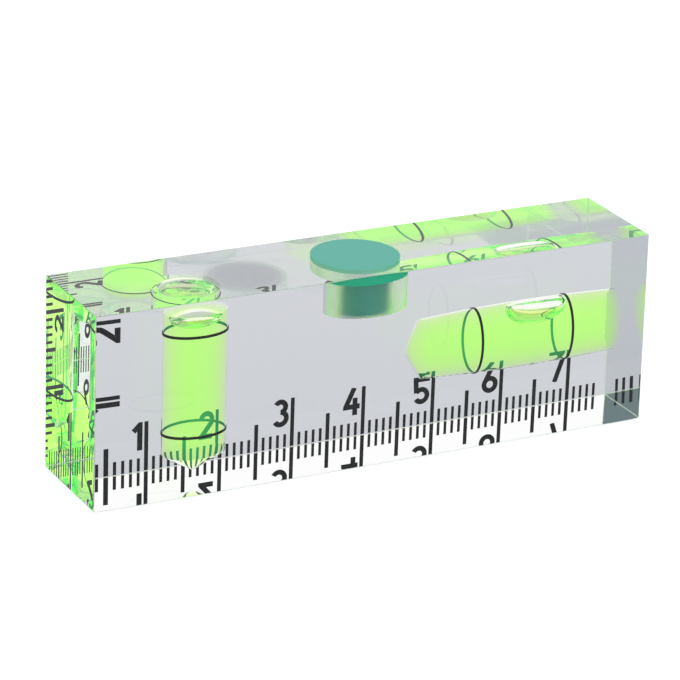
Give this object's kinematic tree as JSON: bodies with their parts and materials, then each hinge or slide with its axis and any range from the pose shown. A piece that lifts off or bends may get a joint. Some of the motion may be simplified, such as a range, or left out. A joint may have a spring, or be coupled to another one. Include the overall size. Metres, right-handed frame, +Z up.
{
  "type": "spirit level",
  "caption": "Clear acrylic block spirit level with a level vial, a plumb vial, a top magnet and millimetre scales on its back face.",
  "frame": {"origin": "middle of the block's base", "axes": "+X along the length towards the mouth of the level vial, +Y through the depth towards the printed back face, +Z up"},
  "size_m": [0.0768, 0.0154, 0.0253],
  "materials": {
    "clear_acrylic": "polished clear acrylic",
    "black_ring": "black spring ring",
    "green_liquid": "fluorescent yellow-green vial liquid",
    "air": "air bubble",
    "green_cover": "satin teal plastic",
    "nickel": "nickel plate",
    "black_ink": "black screen print"
  },
  "bodies": {
    "block": {"acrylic_block": "clear_acrylic", "level_vial_plug": "clear_acrylic", "plumb_vial_plug": "clear_acrylic", "level_ring_left": "black_ring", "level_ring_right": "black_ring", "plumb_ring_upper": "black_ring", "plumb_ring_lower": "black_ring", "level_liquid": "green_liquid", "plumb_liquid": "green_liquid", "magnet_cover": "green_cover", "magnet": "nickel", "long_scale_millimetres": "black_ink", "long_scale_halves": "black_ink", "long_scale_centimetres": "black_ink", "long_scale_numerals": "black_ink", "short_scale_millimetres": "black_ink", "short_scale_halves": "black_ink", "short_scale_centimetres": "black_ink", "short_scale_numerals": "black_ink"},
    "level_bubble": {"level_bubble": "air"},
    "plumb_bubble": {"plumb_bubble": "air"}
  },
  "joints": [
    {"name": "level_bubble_travel", "type": "hinge", "parent": "block", "child": "level_bubble", "pos_m": [0.02315, 0, -0.22196], "axis": [0, 1, 0], "range_deg": [-2.8, 1.6], "stiffness_Nm_per_rad": 0.002, "deforming": ["level_liquid"]},
    {"name": "plumb_bubble_slide", "type": "slide", "parent": "block", "child": "plumb_bubble", "axis": [0, 0, 1], "range_m": [-0.017, 0], "stiffness_N_per_m": 0.5, "springref_m": 0.01, "deforming": ["plumb_liquid"]}
  ]
}
